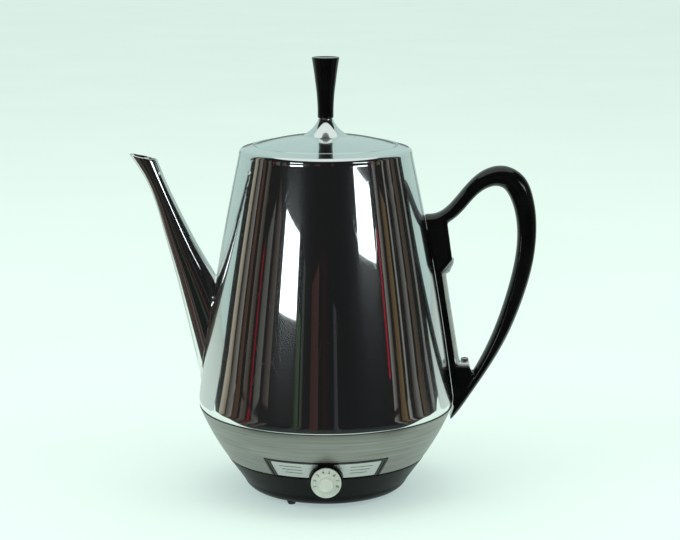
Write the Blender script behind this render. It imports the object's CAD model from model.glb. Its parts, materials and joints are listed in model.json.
"""The looks of an electric coffee percolator: mirror chrome pot, brushed skirt, dark base and handle."""
import json
import math

import bmesh
import bpy
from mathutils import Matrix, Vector

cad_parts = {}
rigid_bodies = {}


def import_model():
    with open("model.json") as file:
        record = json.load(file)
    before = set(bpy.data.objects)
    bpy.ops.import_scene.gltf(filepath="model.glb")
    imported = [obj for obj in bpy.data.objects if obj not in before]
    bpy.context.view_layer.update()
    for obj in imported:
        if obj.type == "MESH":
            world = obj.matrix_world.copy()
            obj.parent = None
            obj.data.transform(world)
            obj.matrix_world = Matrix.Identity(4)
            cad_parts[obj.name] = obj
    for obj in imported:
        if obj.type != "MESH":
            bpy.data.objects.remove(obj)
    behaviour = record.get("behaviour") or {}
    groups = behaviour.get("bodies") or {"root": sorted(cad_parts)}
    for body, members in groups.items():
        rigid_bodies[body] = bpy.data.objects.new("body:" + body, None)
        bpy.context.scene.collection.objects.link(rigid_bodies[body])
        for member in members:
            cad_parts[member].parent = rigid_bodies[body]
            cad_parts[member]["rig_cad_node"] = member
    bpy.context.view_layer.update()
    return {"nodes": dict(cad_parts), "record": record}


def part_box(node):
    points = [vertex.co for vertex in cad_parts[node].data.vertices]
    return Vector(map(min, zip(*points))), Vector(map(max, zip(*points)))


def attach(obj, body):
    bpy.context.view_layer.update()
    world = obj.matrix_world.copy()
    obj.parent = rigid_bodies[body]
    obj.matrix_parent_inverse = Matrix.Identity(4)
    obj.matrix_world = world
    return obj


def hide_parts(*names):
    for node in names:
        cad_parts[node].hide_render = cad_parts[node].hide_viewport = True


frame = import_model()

MM = 0.001
NODES = frame["nodes"]
STEM_LOW, STEM_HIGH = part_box("pump_stem")
AXIS_X = (STEM_LOW.x + STEM_HIGH.x) / 2        # the pot's own axis

# ---- sizes, in millimetres about the pot's axis; points are (radius, height) -----------------------------
SKIRT_LOW = (70.2, 26.5)
SKIRT_MIDDLE = (80.9, 44.0)
SKIRT_HIGH = (89.1, 61.6)
POT_FOOT_R = 88.5
POT_WIDE = (89.59, 66.5)
POT_MIDDLE = (73.4, 170.0)
POT_SHOULDER = (59.9, 238.6)
SHOULDER_TOP = (56.4, 242.9)
MOUTH_RIM = (50.2, 245.0)
LID_SEAT_R = 49.4
LID_SEAT_Z = 243.2
MOUTH_R = 46.6
COLLAR_BOTTOM_Z = 232.5
SHEET = 0.9
LID_R = 48.5
LID_EDGE_Z = 245.0
LID_CROWN_Z = 251.9
NECK_R = 5.2
NECK_TOP_Z = 262.6
KNOB_BOTTOM_Z = 263.6
KNOB_TOP_Z = 305.0
KNOB_TOP_R = 9.45
KNOB_BORE_R = 2.05              # the stud's hole in the knob
KNOB_BORE_TOP_Z = 284.0
NECK_HOLE_R = 2.3
LID_SHEET = 0.8
FLARE_R = 16.0                  # where the lid's crown starts to sweep up into its neck
DIAL_Z = 26.6
DIAL_FACE_Y = -79.3
DIAL_THICK = 2.47
NUMBER_RING_R = 7.9
NUMBER_SIZE = 2.9
NUMBER_COUNT = 8
NUMBER_STEP = 30.0              # degrees from one number to the next
INK_THICK = 0.05
SEAM_R = 0.75                   # the solder bead round the spout's root
LIP_RISE = 0.42
PLATE_LINE_R = 0.16
PLATE_LINES_Z = (30.6, 33.1, 35.6)
PLATE_LINE_START = 12.5         # degrees round the pot from the dial
PLATE_LINE_SPANS = (9.6, 10.8, 12.0)
PLATE_PROUD = 0.17              # the lines' centre in front of the skirt
STRAP_HALF = 4.8
STRAP_DEEP = 3.1
STRAP_THIN_TOP = 1.3            # where the strap tucks in under the handle's block
STRAP_THIN_FOOT = 2.2           # where it lies flat under its screw


# ---- mesh helpers ----------------------------------------------------------------------------------------
def place(x, y, z):
    """A point given in millimetres about the pot's axis, in the frame's metres."""
    return Vector((x * MM + AXIS_X, y * MM, z * MM))


def add_mesh(name, vertices, faces, sharp_degrees=35.0):
    """A smooth-shaded mesh object whose edges sharper than the limit stay sharp."""
    mesh = bpy.data.meshes.new(name)
    mesh.from_pydata([tuple(v) for v in vertices], [], faces)
    mesh.validate()
    b = bmesh.new()
    b.from_mesh(mesh)
    bmesh.ops.remove_doubles(b, verts=b.verts, dist=1e-7)
    bmesh.ops.recalc_face_normals(b, faces=b.faces)
    limit = math.radians(sharp_degrees)
    for face in b.faces:
        face.smooth = True
    for edge in b.edges:
        edge.smooth = len(edge.link_faces) == 2 and edge.calc_face_angle(0.0) < limit
    b.to_mesh(mesh)
    b.free()
    piece = bpy.data.objects.new(name, mesh)
    bpy.context.scene.collection.objects.link(piece)
    return piece


def arc(start, through, end, steps):
    """Points of the circular arc from start to end by way of a third point, without its first point."""
    (ax, ay), (bx, by), (cx, cy) = start, through, end
    d = 2 * (ax * (by - cy) + bx * (cy - ay) + cx * (ay - by))
    aa, bb, cc = ax * ax + ay * ay, bx * bx + by * by, cx * cx + cy * cy
    ux = (aa * (by - cy) + bb * (cy - ay) + cc * (ay - by)) / d
    uy = (aa * (cx - bx) + bb * (ax - cx) + cc * (bx - ax)) / d
    radius = math.hypot(ax - ux, ay - uy)
    turn = [math.atan2(y - uy, x - ux) for x, y in (start, through, end)]
    forward = (turn[1] - turn[0]) % (2 * math.pi) < (turn[2] - turn[0]) % (2 * math.pi)
    sweep = (turn[2] - turn[0]) % (2 * math.pi) if forward else -((turn[0] - turn[2]) % (2 * math.pi))
    turns = [turn[0] + sweep * k / steps for k in range(1, steps + 1)]
    return [(ux + radius * math.cos(a), uy + radius * math.sin(a)) for a in turns]


def path(start, *steps):
    """An outline from points, and from (through, end, count) arcs."""
    points = [start]
    for step in steps:
        if isinstance(step[0], tuple):
            points += arc(points[-1], step[0], step[1], step[2])
        else:
            points.append(step)
    return points


def lathe(name, outline, segments=288):
    """Turns a closed outline of (radius, height) about the pot's axis."""
    vertices, faces = [], []
    count = len(outline)
    for s in range(segments):
        a = 2 * math.pi * s / segments
        for r, z in outline:
            vertices.append(place(r * math.cos(a), r * math.sin(a), z))
    for s in range(segments):
        t = (s + 1) % segments
        for k in range(count):
            n = (k + 1) % count
            faces.append((s * count + k, t * count + k, t * count + n, s * count + n))
    return add_mesh(name, vertices, faces)


def tube_along(name, points, radius, sides=10, closed=False):
    """A round bead along points in millimetres."""
    points = [Vector(p) for p in points]
    count = len(points)
    vertices, faces = [], []
    for k, p in enumerate(points):
        ahead = points[(k + 1) % count] if closed or k < count - 1 else p
        behind = points[k - 1] if closed or k > 0 else p
        along = (ahead - behind).normalized()
        side = along.cross(Vector((0.13, 0.21, 1.0))).normalized()
        up = along.cross(side)
        for s in range(sides):
            a = 2 * math.pi * s / sides
            q = p + (side * math.cos(a) + up * math.sin(a)) * radius
            vertices.append(place(*q))
    for k in range(count if closed else count - 1):
        n = (k + 1) % count
        for s in range(sides):
            t = (s + 1) % sides
            faces.append((k * sides + s, k * sides + t, n * sides + t, n * sides + s))
    if not closed:
        faces.append(tuple(reversed(range(sides))))
        faces.append(tuple((count - 1) * sides + s for s in range(sides)))
    return add_mesh(name, vertices, faces)


def moulded_copy(node, name, voxel, rounds):
    """A copy of a CAD node with its edges softened, as a moulding has them."""
    piece = bpy.data.objects.new(name, NODES[node].data.copy())
    bpy.context.scene.collection.objects.link(piece)
    remesh = piece.modifiers.new("remesh", "REMESH")
    remesh.mode = "VOXEL"
    remesh.voxel_size = voxel
    smooth = piece.modifiers.new("smooth", "SMOOTH")
    smooth.factor = 0.5
    smooth.iterations = rounds
    return apply_modifiers(piece)


def apply_modifiers(piece):
    """Bakes an object's modifiers into its mesh and shades it smooth."""
    graph = bpy.context.evaluated_depsgraph_get()
    mesh = bpy.data.meshes.new_from_object(piece.evaluated_get(graph))
    piece.modifiers.clear()
    piece.data = mesh
    for polygon in mesh.polygons:
        polygon.use_smooth = True
    return piece


# ---- material helpers ------------------------------------------------------------------------------------
class Shader:
    """A material with one Principled shader and short ways to add nodes to it."""

    def __init__(self, name, **sockets):
        self.material = bpy.data.materials.new(name)
        self.material.use_nodes = True
        self.tree = self.material.node_tree
        self.bsdf = self.tree.nodes["Principled BSDF"]
        for socket, value in sockets.items():
            self.bsdf.inputs[socket.replace("_", " ")].default_value = value
        self.coordinates = self.add("ShaderNodeTexCoord").outputs["Object"]
        self.bumps = None

    def add(self, kind, **properties):
        node = self.tree.nodes.new(kind)
        for key, value in properties.items():
            setattr(node, key, value)
        return node

    def link(self, source, target):
        self.tree.links.new(source, target)

    def math(self, operation, a, b=None):
        node = self.add("ShaderNodeMath", operation=operation)
        for socket, value in ((node.inputs[0], a), (node.inputs[1], b)):
            if value is None:
                continue
            if isinstance(value, (int, float)):
                socket.default_value = value
            else:
                self.link(value, socket)
        return node.outputs[0]

    def stretched(self, scale, turn=(0, 0, 0)):
        mapping = self.add("ShaderNodeMapping")
        mapping.inputs["Scale"].default_value = scale
        mapping.inputs["Rotation"].default_value = turn
        self.link(self.coordinates, mapping.inputs["Vector"])
        return mapping.outputs[0]

    def noise(self, scale, detail=3.0, vector=None, rough=0.55, distortion=0.0):
        node = self.add("ShaderNodeTexNoise")
        node.inputs["Scale"].default_value = scale
        node.inputs["Detail"].default_value = detail
        node.inputs["Roughness"].default_value = rough
        node.inputs["Distortion"].default_value = distortion
        self.link(vector or self.coordinates, node.inputs["Vector"])
        return node.outputs["Fac"]

    def ramp(self, value, low, high, out_low=0.0, out_high=1.0):
        node = self.add("ShaderNodeMapRange", clamp=True)
        self.link(value, node.inputs["Value"])
        for key, number in (("From Min", low), ("From Max", high), ("To Min", out_low), ("To Max", out_high)):
            node.inputs[key].default_value = number
        return node.outputs[0]

    def colours(self, factor, first, second):
        node = self.add("ShaderNodeMix", data_type="RGBA")
        self.link(factor, node.inputs["Factor"])
        node.inputs["A"].default_value = (*first, 1)
        node.inputs["B"].default_value = (*second, 1)
        self.link(node.outputs["Result"], self.bsdf.inputs["Base Color"])
        return node

    def roughness(self, value):
        self.link(value, self.bsdf.inputs["Roughness"])

    def bump(self, height, strength, distance):
        node = self.add("ShaderNodeBump")
        node.inputs["Strength"].default_value = strength
        node.inputs["Distance"].default_value = distance
        self.link(height, node.inputs["Height"])
        if self.bumps:
            self.link(self.bumps, node.inputs["Normal"])
        self.bumps = node.outputs["Normal"]
        self.link(self.bumps, self.bsdf.inputs["Normal"])

    def around_axis(self):
        """Angle about the pot's axis, distance from it and height, as separate values."""
        split = self.add("ShaderNodeSeparateXYZ")
        self.link(self.coordinates, split.inputs[0])
        x = self.math("SUBTRACT", split.outputs[0], AXIS_X)
        y = split.outputs[1]
        angle = self.math("ARCTAN2", y, x)
        far = self.math("SQRT", self.math("ADD", self.math("MULTIPLY", x, x), self.math("MULTIPLY", y, y)))
        return angle, far, split.outputs[2]

    def level_grain(self, along, across, detail, rough):
        """Noise stretched level round the pot: how fast it changes round the axis and up it."""
        angle, _, height = self.around_axis()
        return self.noise(1.0, detail, self.join(self.math("MULTIPLY", angle, along), 0.0,
                                                 self.math("MULTIPLY", height, across)), rough)

    def join(self, x, y, z):
        node = self.add("ShaderNodeCombineXYZ")
        for socket, value in zip(node.inputs, (x, y, z)):
            if isinstance(value, (int, float)):
                socket.default_value = value
            else:
                self.link(value, socket)
        return node.outputs[0]


def scratches(shader, scale, width, turn):
    """Thin, long, slightly bent hairlines: 1 on a line, 0 elsewhere."""
    lines = shader.add("ShaderNodeTexVoronoi", feature="DISTANCE_TO_EDGE")
    lines.inputs["Scale"].default_value = scale
    lines.inputs["Randomness"].default_value = 1.0
    shader.link(shader.stretched((1.0, 1.0, 0.22), turn), lines.inputs["Vector"])
    line = shader.ramp(lines.outputs["Distance"], 0.0, width, 1.0, 0.0)
    broken = shader.ramp(shader.noise(scale * 0.55, 2.0), 0.52, 0.62)
    return shader.math("MULTIPLY", line, broken)


def polished_chrome():
    """Mirror plate under an even haze of fine wear, with smudges and hairlines."""
    s = Shader("polished_chrome", Metallic=1.0, Coat_Weight=1.0, Coat_Roughness=0.24, Coat_IOR=1.7)
    smudge = s.noise(22.0, 4.0, distortion=0.6)
    fine = s.noise(160.0, 2.0)
    s.colours(s.ramp(smudge, 0.35, 0.75), (0.80, 0.815, 0.80), (0.845, 0.86, 0.85))
    coarse = scratches(s, 46.0, 0.006, (0.5, 0.35, 0.0))
    lines = s.math("MAXIMUM", coarse, scratches(s, 63.0, 0.005, (-0.7, 0.2, 0.6)))
    base = s.ramp(smudge, 0.3, 0.8, 0.022, 0.057)
    s.roughness(s.math("ADD", base, s.math("MULTIPLY", lines, 0.16)))
    s.bump(lines, 0.12, 0.00005)
    s.bump(s.noise(7.0, 1.0), 0.10, 0.0004)
    s.bump(fine, 0.015, 0.0001)
    return s.material


def brushed_skirt():
    """Warm grey steel, brushed level round the pot."""
    s = Shader("brushed_skirt", Metallic=1.0, Anisotropic=0.55, Coat_Weight=0.0)
    grain = s.level_grain(5.0, 5200.0, 5.0, 0.7)
    broad = s.level_grain(1.3, 620.0, 3.0, 0.6)
    stain = s.noise(26.0, 4.0, distortion=0.8)
    s.colours(s.math("MULTIPLY", s.ramp(broad, 0.3, 0.7), s.ramp(stain, 0.25, 0.8, 0.6, 1.0)),
              (0.235, 0.235, 0.215), (0.37, 0.37, 0.345))
    s.roughness(s.ramp(grain, 0.25, 0.75, 0.24, 0.42))
    s.bump(grain, 0.22, 0.00006)
    tangent = s.add("ShaderNodeTangent", direction_type="RADIAL", axis="Z")
    s.link(tangent.outputs[0], s.bsdf.inputs["Tangent"])
    return s.material


def phenolic(name, low=0.05, high=0.14, shine=0.6):
    """Dark thermoset moulding, glossy where hands polish it, with dust and fine rubs."""
    s = Shader(name, Specular_IOR_Level=shine)
    cloud = s.noise(38.0, 4.0, distortion=0.4)
    s.colours(s.ramp(cloud, 0.35, 0.75), (0.0016, 0.0016, 0.0018), (0.0042, 0.0041, 0.0040))
    rub = scratches(s, 95.0, 0.01, (0.9, 0.2, 0.4))
    s.roughness(s.math("ADD", s.ramp(cloud, 0.3, 0.75, low, high), s.math("MULTIPLY", rub, 0.2)))
    s.bump(s.noise(420.0, 3.0), 0.05, 0.00008)
    s.bump(rub, 0.1, 0.00004)
    return s.material


def cream_plastic():
    """Moulded dial, yellowed a little with age."""
    s = Shader("cream_dial", Specular_IOR_Level=0.5)
    s.bsdf.inputs["Subsurface Weight"].default_value = 0.03
    s.bsdf.inputs["Subsurface Radius"].default_value = (0.004, 0.003, 0.002)
    age = s.noise(150.0, 5.0, distortion=0.5)
    s.colours(s.ramp(age, 0.3, 0.8), (0.58, 0.62, 0.55), (0.44, 0.46, 0.39))
    s.roughness(s.ramp(age, 0.3, 0.7, 0.30, 0.46))
    s.bump(s.noise(900.0, 2.0), 0.06, 0.00005)
    return s.material


def plate_silver():
    """Thin silvery plate with a fine level grain."""
    s = Shader("name_plate", Metallic=0.9, Anisotropic=0.4)
    grain = s.level_grain(9.0, 7000.0, 4.0, 0.7)
    s.colours(s.ramp(grain, 0.3, 0.7), (0.50, 0.51, 0.50), (0.66, 0.67, 0.655))
    s.roughness(s.ramp(grain, 0.3, 0.7, 0.30, 0.44))
    s.bump(grain, 0.12, 0.00004)
    return s.material


def spun_metal(name, dark, light, low, high):
    """Spun or drawn metal, with fine rings about the pot's axis."""
    s = Shader(name, Metallic=1.0)
    angle, far, height = s.around_axis()
    rings = s.noise(1.0, 4.0, s.join(s.math("MULTIPLY", angle, 0.8), s.math("MULTIPLY", far, 2600.0),
                                     s.math("MULTIPLY", height, 2600.0)), 0.65)
    cloud = s.noise(30.0, 4.0)
    s.colours(s.ramp(cloud, 0.3, 0.7), dark, light)
    s.roughness(s.ramp(rings, 0.3, 0.7, low, high))
    s.bump(rings, 0.15, 0.00005)
    return s.material


def plain_metal(name, dark, light, low, high):
    s = Shader(name, Metallic=1.0)
    cloud = s.noise(90.0, 4.0, distortion=0.5)
    s.colours(s.ramp(cloud, 0.3, 0.75), dark, light)
    s.roughness(s.ramp(cloud, 0.3, 0.7, low, high))
    s.bump(s.noise(1200.0, 3.0), 0.1, 0.00004)
    return s.material


def satin_chrome():
    """Plating dulled by the hand: part mirror, part a soft even sheen, with rubs along it."""
    s = Shader("satin_chrome", Metallic=0.5, Specular_IOR_Level=0.7)
    cloud = s.noise(90.0, 4.0, distortion=0.5)
    rub = s.noise(1.0, 4.0, s.stretched((2600.0, 2600.0, 60.0)), 0.65)
    s.colours(s.ramp(cloud, 0.3, 0.75), (0.60, 0.63, 0.61), (0.72, 0.75, 0.73))
    s.roughness(s.ramp(rub, 0.3, 0.7, 0.20, 0.34))
    s.bump(rub, 0.12, 0.00004)
    return s.material


def heater_sheath():
    """Steel tube tinted by heat."""
    s = Shader("heater_sheath", Metallic=1.0)
    tint = s.noise(60.0, 3.0, distortion=1.2)
    s.colours(s.ramp(tint, 0.35, 0.65), (0.17, 0.12, 0.10), (0.30, 0.27, 0.30))
    s.roughness(s.ramp(tint, 0.3, 0.7, 0.35, 0.6))
    s.bump(s.noise(1500.0, 3.0), 0.15, 0.00006)
    return s.material


def rough_plastic(name, dark, light, low=0.5, high=0.75, grain=900.0):
    s = Shader(name)
    cloud = s.noise(70.0, 4.0)
    s.colours(s.ramp(cloud, 0.3, 0.7), dark, light)
    s.roughness(s.ramp(cloud, 0.3, 0.7, low, high))
    s.bump(s.noise(grain, 3.0), 0.2, 0.0001)
    return s.material


def braided_sleeve():
    """Woven glass sleeve on the lead wires."""
    s = Shader("wire_sleeve")
    weave = s.add("ShaderNodeTexWave", wave_type="BANDS", bands_direction="DIAGONAL")
    weave.inputs["Scale"].default_value = 520.0
    weave.inputs["Distortion"].default_value = 1.5
    s.link(s.coordinates, weave.inputs["Vector"])
    s.colours(weave.outputs["Fac"], (0.45, 0.43, 0.38), (0.72, 0.70, 0.64))
    s.roughness(s.ramp(weave.outputs["Fac"], 0.0, 1.0, 0.8, 0.95))
    s.bump(weave.outputs["Fac"], 0.5, 0.0002)
    return s.material


MATERIALS = {
    "polished_chrome": polished_chrome(),
    "satin_chrome": satin_chrome(),
    "brushed_skirt": brushed_skirt(),
    "name_plate": plate_silver(),
    "black_phenolic": phenolic("black_phenolic"),
    "base_phenolic": phenolic("base_phenolic", 0.30, 0.46, 0.12),
    "cream_dial": cream_plastic(),
    "pot_steel": spun_metal("pot_steel", (0.46, 0.46, 0.45), (0.58, 0.58, 0.57), 0.28, 0.45),
    "basket_aluminium": spun_metal("basket_aluminium", (0.66, 0.67, 0.67), (0.78, 0.79, 0.79), 0.24, 0.42),
    "heater_sheath": heater_sheath(),
    "screw_steel": plain_metal("screw_steel", (0.42, 0.42, 0.41), (0.62, 0.62, 0.60), 0.22, 0.42),
    "thermostat_case": rough_plastic("thermostat_case", (0.10, 0.055, 0.035), (0.16, 0.09, 0.055)),
    "brass_parts": plain_metal("brass_parts", (0.60, 0.43, 0.17), (0.78, 0.60, 0.28), 0.20, 0.36),
    "foot_rubber": rough_plastic("foot_rubber", (0.010, 0.010, 0.010), (0.022, 0.021, 0.020)),
    "wire_sleeve": braided_sleeve(),
    "cover_steel": rough_plastic("cover_steel", (0.012, 0.012, 0.012), (0.025, 0.025, 0.025),
                                 0.3, 0.5, 1400.0),
}


def dress(piece, slot, look=None):
    """Gives a piece its slot's material, or another look, and says which of the record's slots it is."""
    piece.data.materials.clear()
    piece.data.materials.append(MATERIALS[look or slot])
    return piece


# ---- chrome pot ------------------------------------------------------------------------------------------
def radius_at(curve, z):
    """The radius at a height on a curve of (radius, height) that climbs."""
    if z <= curve[0][1]:
        return curve[0][0]
    for (r0, z0), (r1, z1) in zip(curve, curve[1:]):
        if z <= z1:
            return r0 + (r1 - r0) * (z - z0) / (z1 - z0)
    return curve[-1][0]


POT_CURVE = [POT_WIDE] + arc(POT_WIDE, POT_MIDDLE, POT_SHOULDER, 60)
SKIRT_CURVE = [SKIRT_LOW] + arc(SKIRT_LOW, SKIRT_MIDDLE, SKIRT_HIGH, 30)


def make_pot():
    """The drawn shell: tapered wall, shoulder, rolled rim, lid seat and the collar inside it."""
    t = SHEET
    outline = path(
        (POT_FOOT_R, SKIRT_HIGH[1] + 0.3),
        ((POT_WIDE[0] - 0.25, POT_WIDE[1] - 2.3), POT_WIDE, 10),
        (POT_MIDDLE, POT_SHOULDER, 120),
        ((POT_SHOULDER[0] - 0.75, POT_SHOULDER[1] + 2.9), SHOULDER_TOP, 12),
        MOUTH_RIM,
        ((LID_SEAT_R + 0.25, MOUTH_RIM[1] - 0.15), (LID_SEAT_R, MOUTH_RIM[1] - 0.6), 5),
        (LID_SEAT_R, LID_SEAT_Z), (MOUTH_R, LID_SEAT_Z), (MOUTH_R, COLLAR_BOTTOM_Z),
        (MOUTH_R + t, COLLAR_BOTTOM_Z), (MOUTH_R + t, LID_SEAT_Z - t), (LID_SEAT_R + t, LID_SEAT_Z - t),
        (LID_SEAT_R + t, MOUTH_RIM[1] - 1.1),
        (SHOULDER_TOP[0] - 0.2, SHOULDER_TOP[1] - t),
        ((POT_SHOULDER[0] - 1.55, POT_SHOULDER[1] + 2.2), (POT_SHOULDER[0] - t, POT_SHOULDER[1] - 0.1), 6),
        ((POT_MIDDLE[0] - t, POT_MIDDLE[1]), (POT_WIDE[0] - t, POT_WIDE[1]), 60),
        ((POT_WIDE[0] - t - 0.25, POT_WIDE[1] - 2.2), (POT_FOOT_R - t, SKIRT_HIGH[1] + 0.5), 6))
    pot = dress(lathe("pot_body", outline, 360), "polished_chrome")
    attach(pot, "pot")
    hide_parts("body_shell")


# ---- spout -----------------------------------------------------------------------------------------------
# sections up the spout: height, its outer and inner edge's x, and its half width
SPOUT_SECTIONS = (
    (74.0, -86.8, -34.0, 12.6),
    (106.0, -93.6, -51.5, 12.0),
    (149.0, -103.4, -74.4, 10.4),
    (177.5, -110.8, -90.5, 8.4),
    (205.7, -118.4, -104.4, 6.6),
    (222.0, -125.2, -111.6, 6.3),
    (242.0, -137.8, -119.2, 7.2),
)
SPOUT_MOUTH = ((-136.6, 238.6), (-115.0, 233.9))
ROOT_HEIGHTS = (72.0, 200.0)    # the root's ring and the mouth's rim are looked for between these
MOUTH_HEIGHTS = (210.0, 246.0)
ROOT_GAP = 0.15                 # between the spout's root and the pot's wall
SPOUT_AROUND = 96
SPOUT_ALONG = 90


def spline_value(knots, z):
    """A smooth curve through (z, value) knots, by finite-difference cubic pieces."""
    zs = [k[0] for k in knots]
    slopes = []
    for i in range(len(knots)):
        a, b = max(i - 1, 0), min(i + 1, len(knots) - 1)
        slopes.append((knots[b][1] - knots[a][1]) / (knots[b][0] - knots[a][0]))
    i = max(0, min(len(knots) - 2, sum(1 for v in zs if v <= z) - 1))
    h = zs[i + 1] - zs[i]
    u = (z - zs[i]) / h
    return ((2 * u ** 3 - 3 * u ** 2 + 1) * knots[i][1] + (u ** 3 - 2 * u ** 2 + u) * h * slopes[i]
            + (3 * u ** 2 - 2 * u ** 3) * knots[i + 1][1] + (u ** 3 - u ** 2) * h * slopes[i + 1])


def spout_point(angle, z, inset):
    x_out = spline_value([(s[0], s[1]) for s in SPOUT_SECTIONS], z)
    x_in = spline_value([(s[0], s[2]) for s in SPOUT_SECTIONS], z)
    half = spline_value([(s[0], s[3]) for s in SPOUT_SECTIONS], z)
    return Vector(((x_out + x_in) / 2 + ((x_in - x_out) / 2 - inset * 1.1) * math.cos(angle),
                   (half - inset) * math.sin(angle), z))


def bisect(condition, low, high):
    """The height between low and high where the condition turns from false to true."""
    for _ in range(40):
        middle = (low + high) / 2
        low, high = (low, middle) if condition(middle) else (middle, high)
    return (low + high) / 2


def mouth_height(x):
    (x0, z0), (x1, z1) = SPOUT_MOUTH
    return z0 + (z1 - z0) * (x - x0) / (x1 - x0)


def spout_wall(inset):
    """Rings of the spout's wall from the pot's side to the slanted mouth, and the ring for its seam."""
    ends = []
    for s in range(SPOUT_AROUND):
        a = 2 * math.pi * s / SPOUT_AROUND
        root = bisect(lambda z: spout_point(a, z, inset).xy.length > radius_at(POT_CURVE, z) + ROOT_GAP,
                      *ROOT_HEIGHTS)
        top = bisect(lambda z: z > mouth_height(spout_point(a, z, inset).x), *MOUTH_HEIGHTS)
        ends.append((a, root, top))
    rings = []
    for k in range(SPOUT_ALONG + 1):
        share = k / SPOUT_ALONG
        rings.append([spout_point(a, root + (top - root) * share, inset) for a, root, top in ends])
    return rings, [spout_point(a, root, -0.1) for a, root, top in ends]


def make_spout():
    outer, seam = spout_wall(0.0)
    inner = spout_wall(SHEET)[0]
    lip = [(a + b) / 2 + Vector((0, 0, LIP_RISE)) for a, b in zip(outer[-1], inner[-1])]
    loops = outer + [lip] + inner[::-1]
    vertices = [place(*p) for ring in loops for p in ring]
    faces = []
    for k in range(len(loops)):
        here, there = k * SPOUT_AROUND, (k + 1) % len(loops) * SPOUT_AROUND
        for s in range(SPOUT_AROUND):
            t = (s + 1) % SPOUT_AROUND
            faces.append((here + s, here + t, there + t, there + s))
    spout = dress(add_mesh("spout_tube", vertices, faces, 50), "polished_chrome")
    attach(spout, "pot")
    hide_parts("spout")
    bead = dress(tube_along("spout_seam", seam, SEAM_R, closed=True), "polished_chrome")
    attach(bead, "pot")


# ---- lid and knob ----------------------------------------------------------------------------------------
def crown(r):
    return LID_CROWN_Z - (LID_CROWN_Z - LID_EDGE_Z) * (r / LID_R) ** 2


def make_lid():
    t, flare_r, flare_z = LID_SHEET, FLARE_R, crown(FLARE_R)
    outline = path(
        (LID_R, LID_SEAT_Z + 0.1), (LID_R, LID_EDGE_Z - 0.7),
        ((LID_R - 0.25, LID_EDGE_Z - 0.15), (LID_R - 0.9, LID_EDGE_Z), 6),
        ((33.0, crown(33.0)), (flare_r, flare_z), 40),
        ((8.9, 256.4), (NECK_R + 0.15, NECK_TOP_Z - 1.0), 30), (NECK_R, NECK_TOP_Z),
        (NECK_HOLE_R, NECK_TOP_Z), (NECK_HOLE_R, NECK_TOP_Z - t), (NECK_R - t, NECK_TOP_Z - t),
        ((8.2, 255.7), (flare_r - 0.3, flare_z - t), 20),
        ((33.0, crown(33.0) - t), (LID_R - 1.0, LID_EDGE_Z - t), 30), (LID_R - t, LID_EDGE_Z - 1.1),
        (LID_R - t, LID_SEAT_Z + 0.1))
    lid = dress(lathe("lid_top", outline, 288), "polished_chrome")
    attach(lid, "lid")
    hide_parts("lid_shell")
    knob_outline = path(
        (KNOB_BORE_R, KNOB_BOTTOM_Z), (5.3, KNOB_BOTTOM_Z), (5.5, KNOB_BOTTOM_Z + 0.3),
        ((5.75, 275.0), (7.1, 288.0), 20), ((8.1, 296.0), (KNOB_TOP_R, KNOB_TOP_Z - 0.5), 20),
        ((KNOB_TOP_R - 0.15, KNOB_TOP_Z - 0.15), (KNOB_TOP_R - 0.5, KNOB_TOP_Z), 5), (0.0, KNOB_TOP_Z),
        (0.0, KNOB_BORE_TOP_Z), (KNOB_BORE_R, KNOB_BORE_TOP_Z))
    knob = dress(lathe("lid_finial", knob_outline, 96), "black_phenolic")
    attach(knob, "lid")
    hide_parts("lid_knob")


# ---- base, handle and dial -------------------------------------------------------------------------------
def make_mouldings():
    """The base and the handle, with the rounded edges of mouldings."""
    base = dress(moulded_copy("base_shell", "base_moulding", 0.0009, 3), "black_phenolic", "base_phenolic")
    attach(base, "pot")
    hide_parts("base_shell")
    grip = dress(moulded_copy("handle", "handle_moulding", 0.0008, 6), "black_phenolic")
    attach(grip, "pot")
    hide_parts("handle")


def make_strap():
    """The bright strap down the handle's spine, half-round outside, tucked in above and screwed below."""
    line = [(88.15, 164.6), (88.0, 162.4), (84.3, 157.6), (81.0, 154.4), (83.4, 138.0), (86.2, 120.8),
            (89.0, 103.6), (90.7, 93.4), (91.6, 90.2), (93.4, 88.9), (97.0, 88.75), (100.9, 88.75)]
    sides = 12
    vertices, faces = [], []
    for k, (x, z) in enumerate(line):
        ahead, behind = line[min(k + 1, len(line) - 1)], line[max(k - 1, 0)]
        along = Vector((ahead[0] - behind[0], ahead[1] - behind[1])).normalized()
        out = Vector((-along.y, along.x)) if k else Vector((1.0, 0.0))
        out = out if out.x + out.y > 0 else -out
        thick = STRAP_DEEP
        if k < 2:
            thick = STRAP_THIN_TOP
        elif k >= len(line) - 3:
            thick = STRAP_THIN_FOOT
        vertices.append(place(x, -STRAP_HALF, z))
        for s in range(sides + 1):
            a = math.pi * s / sides
            bulge = (0.35 + 0.65 * math.sin(a) ** 0.6) * thick
            vertices.append(place(x + out.x * bulge, -STRAP_HALF * math.cos(a), z + out.y * bulge))
        vertices.append(place(x, STRAP_HALF, z))
    count = sides + 3
    for k in range(len(line) - 1):
        for s in range(count):
            t = (s + 1) % count
            faces.append((k * count + s, k * count + t, (k + 1) * count + t, (k + 1) * count + s))
    faces.append(tuple(range(count)))
    faces.append(tuple((len(line) - 1) * count + s for s in reversed(range(count))))
    strap = dress(add_mesh("strap_band", vertices, faces, 50), "polished_chrome", "satin_chrome")
    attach(strap, "pot")
    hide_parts("handle_strap")


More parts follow.
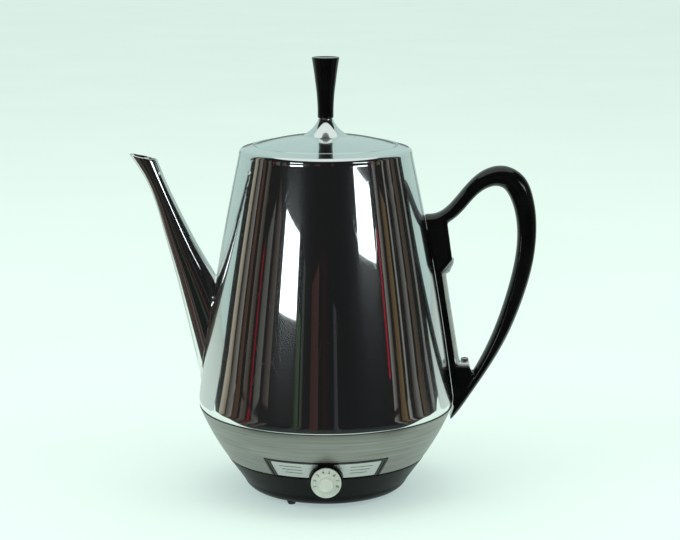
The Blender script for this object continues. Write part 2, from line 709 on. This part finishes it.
def make_dial_marks():
    """The numbers round the dial."""
    front = DIAL_FACE_Y - DIAL_THICK
    ink = phenolic("dial_ink", 0.4, 0.6)
    for k in range(NUMBER_COUNT):
        a = math.radians(NUMBER_STEP * (k - (NUMBER_COUNT - 1) / 2))
        text = bpy.data.curves.new(f"dial_number_{k + 1}", "FONT")
        text.body = str(k + 1)
        text.size = NUMBER_SIZE * MM
        text.align_x = "CENTER"
        text.align_y = "CENTER"
        text.extrude = INK_THICK * MM
        number = bpy.data.objects.new(f"dial_number_{k + 1}", text)
        bpy.context.scene.collection.objects.link(number)
        number.location = place(NUMBER_RING_R * math.sin(a), front, DIAL_Z + NUMBER_RING_R * math.cos(a))
        number.rotation_euler = (math.radians(90), a, 0)
        text.materials.append(ink)
        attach(number, "dial")


def make_plate_lines():
    """Plain engraved lines in place of lettering on both halves of the name plate."""
    ink = phenolic("plate_ink", 0.4, 0.6)
    for side in (-1, 1):
        name = "plate_line_left" if side < 0 else "plate_line_right"
        for row, (z, span) in enumerate(zip(PLATE_LINES_Z, PLATE_LINE_SPANS)):
            r = radius_at(SKIRT_CURVE, z) + PLATE_PROUD
            points = []
            for k in range(17):
                a = math.radians(side * (PLATE_LINE_START + span * k / 16))
                points.append((r * math.sin(a), -r * math.cos(a), z))
            line = tube_along(f"{name}_{row + 1}", points, PLATE_LINE_R, 6)
            line.data.materials.append(ink)
            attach(line, "pot")


# ---- studio ----------------------------------------------------------------------------------------------
# cards that only reflections see: azimuth from and to (0 is the camera's side, 90 is +X), the heights of the
# lower and of the upper edge at each of them, and the light at each of them; the first three are the room
ROOM_CARDS = 3
CARDS = (
    (-112, 116, (-0.02, -0.02), (2.4, 2.4), (0.012, 0.0125, 0.013), (0.012, 0.0125, 0.013)),
    (-180, -112, (-0.02, -0.02), (2.4, 2.4), (0.50, 0.66, 0.63), (0.45, 0.61, 0.57)),
    (116, 180, (-0.02, -0.02), (2.4, 2.4), (0.45, 0.61, 0.57), (0.50, 0.66, 0.63)),
    (-103, -97, (0.0, 0.0), (0.9, 1.6), (0.42, 0.40, 0.33), (0.20, 0.17, 0.12)),
    (-95, -89, (0.0, 0.0), (1.2, 0.8), (0.05, 0.05, 0.045), (0.20, 0.19, 0.17)),
    (-87, -83, (0.0, 0.0), (0.7, 0.5), (0.050, 0.030, 0.022), (0.075, 0.045, 0.030)),
    (-79, -74, (0.02, 0.0), (0.55, 0.62), (0.10, 0.09, 0.075), (0.045, 0.042, 0.036)),
    (-71, -69.5, (0.02, 0.02), (0.36, 0.40), (0.20, 0.012, 0.018), (0.16, 0.010, 0.015)),
    (-67, -61, (0.0, 0.05), (0.42, 0.52), (0.060, 0.066, 0.060), (0.11, 0.11, 0.10)),
    (-58, -52, (0.05, 0.05), (0.60, 0.50), (0.030, 0.022, 0.020), (0.085, 0.075, 0.065)),
    (-46.5, -29, (0.290, 0.300), (0.538, 0.512), (3.0, 3.3, 3.35), (2.6, 2.9, 3.0)),
    (-28, -24.5, (0.02, 0.02), (0.34, 0.31), (0.022, 0.036, 0.020), (0.042, 0.068, 0.036)),
    (-23, -21, (0.02, 0.02), (0.46, 0.44), (0.045, 0.060, 0.045), (0.03, 0.03, 0.03)),
    (-14, -7, (0.0, 0.0), (0.40, 0.46), (0.040, 0.022, 0.020), (0.050, 0.028, 0.026)),
    (-3, 3, (0.0, 0.0), (0.49, 0.47), (0.020, 0.014, 0.014), (0.014, 0.012, 0.013)),
    (7, 10, (0.0, 0.0), (0.36, 0.34), (0.032, 0.032, 0.034), (0.045, 0.045, 0.048)),
    (36, 55, (0.452, 0.384), (0.672, 0.570), (2.8, 3.1, 3.2), (3.0, 3.3, 3.4)),
    (59, 60.5, (0.10, 0.10), (0.46, 0.43), (0.34, 0.014, 0.024), (0.26, 0.012, 0.020)),
    (62, 66, (0.02, 0.02), (0.62, 0.60), (0.20, 0.20, 0.185), (0.045, 0.042, 0.038)),
    (69, 74, (0.0, 0.0), (0.52, 0.46), (0.085, 0.055, 0.028), (0.13, 0.095, 0.050)),
    (77, 79, (0.0, 0.0), (1.2, 1.2), (0.26, 0.27, 0.25), (0.16, 0.16, 0.15)),
    (84, 90, (0.0, 0.0), (1.0, 1.3), (0.040, 0.036, 0.032), (0.17, 0.175, 0.165)),
    (93, 99, (0.0, 0.0), (1.6, 1.4), (0.085, 0.060, 0.036), (0.040, 0.040, 0.038)),
    (105, 108, (0.0, 0.0), (1.9, 1.9), (0.15, 0.16, 0.15), (0.20, 0.21, 0.20)),
    (150, 157, (0.0, 0.0), (0.45, 0.45), (0.24, 0.30, 0.28), (0.24, 0.30, 0.28)),
    (-160, -153, (0.0, 0.0), (0.45, 0.45), (0.24, 0.30, 0.28), (0.24, 0.30, 0.28)),
    (172, 188, (0.0, 0.0), (0.42, 0.42), (0.10, 0.10, 0.10), (0.10, 0.10, 0.10)),
)
CARD_RADIUS = 1.72
CARD_STEP = 0.002               # each card stands this much inside the one before
FLAG_NEAR = (0.125, 0.62)       # radius at which the dark floor starts, in front and at the sides
FLAG_TURN = (52, 60)            # azimuth at which that radius starts to grow, and over how many degrees
PALE_NEAR = 0.30                # radius at which the pale floor starts
LOW_EDGE = 0.06                 # a card that reaches lower than this runs on over the floor
FLOOR_CARD_Z = 0.003
NEAR_FLOOR = (0.034, 0.042, 0.042)                      # the dark floor's inner edge
PALE_FLOOR = ((0.60, 0.72, 0.67), (0.40, 0.49, 0.45))   # the floor at the back, near and far


def light_material(name):
    """Light whose colour is the mesh's own, so that it can fade from one side of a card to the other."""
    material = bpy.data.materials.new(name)
    material.use_nodes = True
    nodes = material.node_tree.nodes
    nodes.clear()
    emission = nodes.new("ShaderNodeEmission")
    output = nodes.new("ShaderNodeOutputMaterial")
    colour = nodes.new("ShaderNodeVertexColor")
    colour.layer_name = "light"
    material.node_tree.links.new(colour.outputs["Color"], emission.inputs["Color"])
    material.node_tree.links.new(emission.outputs[0], output.inputs["Surface"])
    return material


def reflected_only(card):
    """Hides a card from everything but glossy reflections."""
    card.visible_camera = False
    card.visible_diffuse = False
    card.visible_shadow = False
    card.visible_transmission = False


def band(name, start, end, near, far, first, last):
    """A sheet from one azimuth to another between two rims, given as (radius, height at each end)."""
    steps = max(2, int(abs(end - start) / 2))
    vertices, faces, colours = [], [], []
    for k in range(steps + 1):
        share = k / steps
        a = math.radians(start + (end - start) * share)
        for radius, heights in (near, far):
            z = heights[0] + (heights[1] - heights[0]) * share
            vertices.append((AXIS_X + radius * math.sin(a), -radius * math.cos(a), z))
            colours.append([p + (q - p) * share for p, q in zip(first, last)])
    for k in range(steps):
        faces.append((2 * k, 2 * k + 2, 2 * k + 3, 2 * k + 1))
    add_card(name, vertices, faces, colours)


def add_card(name, vertices, faces, colours):
    """A glowing card with a colour at each vertex."""
    mesh = bpy.data.meshes.new(name)
    mesh.from_pydata(vertices, [], faces)
    layer = mesh.color_attributes.new("light", "FLOAT_COLOR", "POINT")
    for entry, colour in zip(layer.data, colours):
        entry.color = (*colour, 1)
    card = bpy.data.objects.new(name, mesh)
    bpy.context.scene.collection.objects.link(card)
    mesh.materials.append(bpy.data.materials["card_light"])
    reflected_only(card)


def make_cards():
    """Curved flags and light cards round the pot, seen only in its reflections."""
    light_material("card_light")
    for index, (start, end, lows, highs, first, last) in enumerate(CARDS):
        radius = CARD_RADIUS - CARD_STEP * index
        band(f"card_{index:02d}", start, end, (radius, lows), (radius, highs), first, last)
    make_reflected_floor(*CARDS[0][:2], CARDS[0][-1])


def streak_colour(azimuth, dark):
    """The colour that the floor takes over from the card at an azimuth, so that streaks run on below."""
    colour = dark
    for start, end, lows, _, first, last in CARDS[ROOM_CARDS:]:
        if start <= azimuth <= end and max(lows) < LOW_EDGE:
            share = (azimuth - start) / (end - start)
            colour = [p + (q - p) * share for p, q in zip(first, last)]
    return colour


def make_reflected_floor(start, end, dark):
    """The floor as the chrome sees it: dark with streaks in front, pale and fading at the back."""
    rings = 8
    vertices, colours, faces = [], [], []
    columns = range(-180, 181)
    for azimuth in columns:
        in_front = start < azimuth < end
        side = min(1.0, max(0.0, (abs(azimuth) - FLAG_TURN[0]) / FLAG_TURN[1]))
        near = FLAG_NEAR[0] + (FLAG_NEAR[1] - FLAG_NEAR[0]) * side ** 2 if in_front else PALE_NEAR
        a = math.radians(azimuth)
        for k in range(rings + 1):
            share = k / rings
            r = near + (CARD_RADIUS - near) * share
            vertices.append((AXIS_X + r * math.sin(a), -r * math.cos(a), FLOOR_CARD_Z))
            if in_front:
                colours.append(streak_colour(azimuth, dark) if k else NEAR_FLOOR)
            else:
                colours.append([p + (q - p) * share for p, q in zip(*PALE_FLOOR)])
    for c in range(len(columns) - 1):
        for k in range(rings):
            low = c * (rings + 1) + k
            faces.append((low, low + 1, low + rings + 2, low + rings + 1))
    add_card("reflected_floor", vertices, faces, colours)


FLOOR_HALF = 9.0
FLOOR_GLOW = (0.33, 0.41, 0.41, 1)      # a little light of its own, which keeps the shadows faint


def make_floor():
    """Matt pale paper."""
    h = FLOOR_HALF
    floor = add_mesh("floor", [(-h, -h, 0), (h, -h, 0), (h, h, 0), (-h, h, 0)], [(0, 1, 2, 3)])
    s = Shader("floor_paper", Specular_IOR_Level=0.0, Emission_Color=FLOOR_GLOW, Emission_Strength=1.0)
    cloud = s.noise(3.0, 3.0)
    s.colours(s.ramp(cloud, 0.3, 0.7), (0.43, 0.485, 0.42), (0.45, 0.50, 0.435))
    s.roughness(s.ramp(cloud, 0.3, 0.7, 0.55, 0.65))
    floor.data.materials.append(s.material)


LAMP_AIM_HEIGHT = 0.12


def make_lights():
    """A pale sky and three large soft lamps."""
    world = bpy.data.worlds.new("studio")
    bpy.context.scene.world = world
    world.use_nodes = True
    sky = world.node_tree.nodes["Background"]
    sky.inputs["Color"].default_value = (0.895, 0.985, 0.96, 1)
    sky.inputs["Strength"].default_value = 0.92
    for name, position, size, power in (
            ("overhead", (0.0, -0.2, 2.2), 2.2, 19.0),
            ("left_softbox", (-1.9, -1.1, 1.5), 1.2, 12.0),
            ("right_softbox", (1.9, -0.9, 1.6), 1.2, 10.0)):
        lamp = bpy.data.lights.new(name, "AREA")
        lamp.size = size
        lamp.energy = power
        lamp.color = (0.95, 1.0, 0.985)
        light = bpy.data.objects.new(name, lamp)
        light.location = position
        aim = Vector((AXIS_X, 0, LAMP_AIM_HEIGHT)) - Vector(position)
        light.rotation_euler = aim.to_track_quat("-Z", "Y").to_euler()
        light.visible_glossy = False        # the cards alone make the highlights on the chrome
        bpy.context.scene.collection.objects.link(light)


# the photograph's view: a metre and a third in front of the pot, looking down by eleven degrees
CAMERA_DISTANCE = 1.360
CAMERA_HEIGHT = 0.421
AIM_HEIGHT = 0.1566
AIM_RIGHT = 0.0099
LENS_MM = 105.0


def make_camera():
    camera = bpy.data.objects.new("camera", bpy.data.cameras.new("camera"))
    camera.data.lens = LENS_MM
    camera.data.sensor_width = 36.0
    camera.data.clip_end = 50.0
    camera.location = (AXIS_X, -CAMERA_DISTANCE, CAMERA_HEIGHT)
    aim = Vector((AXIS_X + AIM_RIGHT, 0, AIM_HEIGHT)) - camera.location
    camera.rotation_euler = aim.to_track_quat("-Z", "Y").to_euler()
    bpy.context.scene.collection.objects.link(camera)
    bpy.context.scene.camera = camera


def dress_cad_nodes():
    """Every CAD node that stays gets its slot's material."""
    for part in frame["record"]["subparts"]:
        dress(NODES[part["node"]], part["material_slot"])


make_camera()
make_lights()
make_floor()
make_cards()
dress_cad_nodes()
make_pot()
make_spout()
make_lid()
make_mouldings()
make_strap()
make_dial_marks()
make_plate_lines()
bpy.context.scene.view_settings.view_transform = "Standard"
